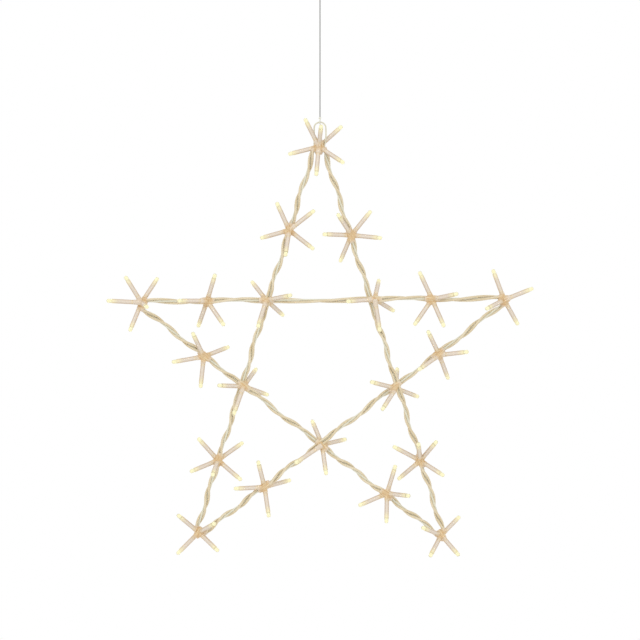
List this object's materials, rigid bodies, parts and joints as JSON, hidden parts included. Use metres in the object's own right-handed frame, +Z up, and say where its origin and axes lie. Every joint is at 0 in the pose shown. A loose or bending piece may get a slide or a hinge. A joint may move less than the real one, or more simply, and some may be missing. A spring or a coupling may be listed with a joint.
{
  "type": "led christmas star",
  "caption": "Flat five-pointed wire star wound with a two-strand light string and clusters of warm sleeved lamps, hung from an eye on a thin cord.",
  "frame": {"origin": "point where a hook bears inside the hanging cord's upper loop", "axes": "+Z up along the hanging cord, +X to the right seen from the front, front of the star towards -Y"},
  "size_m": [0.511, 0.0664, 0.7013],
  "materials": {
    "frame_wire": "steel wire with a cream coating, satin",
    "strand_jacket": "clear soft PVC over fine copper wire, which shows through as golden beige",
    "lamp_sleeve": "milky translucent sleeve, with amber where it joins the others",
    "lamp_lens": "clear epoxy lens that glows warm white",
    "lamp_joint": "moulded amber-tinted clear plastic",
    "lead_wire": "thin tinned copper lead inside the sleeve",
    "hanging_cord": "thin twisted cord, matt pale grey"
  },
  "bodies": {
    "cord": {"cord_hook_loop": "hanging_cord", "hanging_cord": "hanging_cord"},
    "knot": {"cord_knot": "hanging_cord"},
    "ring": {"cord_ring": "hanging_cord"},
    "star": {"frame_wire_1": "frame_wire", "frame_wire_2": "frame_wire", "frame_wire_3": "frame_wire", "frame_wire_4": "frame_wire", "frame_wire_5": "frame_wire", "hanging_eye": "frame_wire", "strand_1_a": "strand_jacket", "strand_1_b": "strand_jacket", "strand_2_a": "strand_jacket", "strand_2_b": "strand_jacket", "strand_3_a": "strand_jacket", "strand_3_b": "strand_jacket", "strand_4_a": "strand_jacket", "strand_4_b": "strand_jacket", "strand_5_a": "strand_jacket", "strand_5_b": "strand_jacket", "lamp_cluster_top": "lamp_sleeve", "lamp_cluster_left_tip": "lamp_sleeve", "lamp_cluster_right_tip": "lamp_sleeve", "lamp_cluster_left_foot": "lamp_sleeve", "lamp_cluster_right_foot": "lamp_sleeve", "lamp_cluster_upper_left": "lamp_sleeve", "lamp_cluster_upper_right": "lamp_sleeve", "lamp_cluster_left_arm_upper": "lamp_sleeve", "lamp_cluster_left_arm_lower": "lamp_sleeve", "lamp_cluster_right_arm_upper": "lamp_sleeve", "lamp_cluster_right_arm_lower": "lamp_sleeve", "lamp_cluster_crossing_left": "lamp_sleeve", "lamp_cluster_crossing_right": "lamp_sleeve", "lamp_cluster_crossing_lower_left": "lamp_sleeve", "lamp_cluster_crossing_lower_right": "lamp_sleeve", "lamp_cluster_crossing_bottom": "lamp_sleeve", "lamp_cluster_left_leg_outer": "lamp_sleeve", "lamp_cluster_right_leg_outer": "lamp_sleeve", "lamp_cluster_left_leg_inner": "lamp_sleeve", "lamp_cluster_right_leg_inner": "lamp_sleeve"}
  },
  "joints": [
    {"name": "star_spin", "type": "hinge", "parent": "cord", "child": "knot", "pos_m": [0, 0, -0.175], "axis": [0, 0, 1], "range_deg": [-180, 180]},
    {"name": "star_rock", "type": "hinge", "parent": "knot", "child": "ring", "pos_m": [0, 0, -0.175], "axis": [0, 1, 0], "range_deg": [-30, 30]},
    {"name": "star_swing", "type": "hinge", "parent": "ring", "child": "star", "pos_m": [0, 0, -0.18], "axis": [1, 0, 0], "range_deg": [-80, 80]}
  ]
}
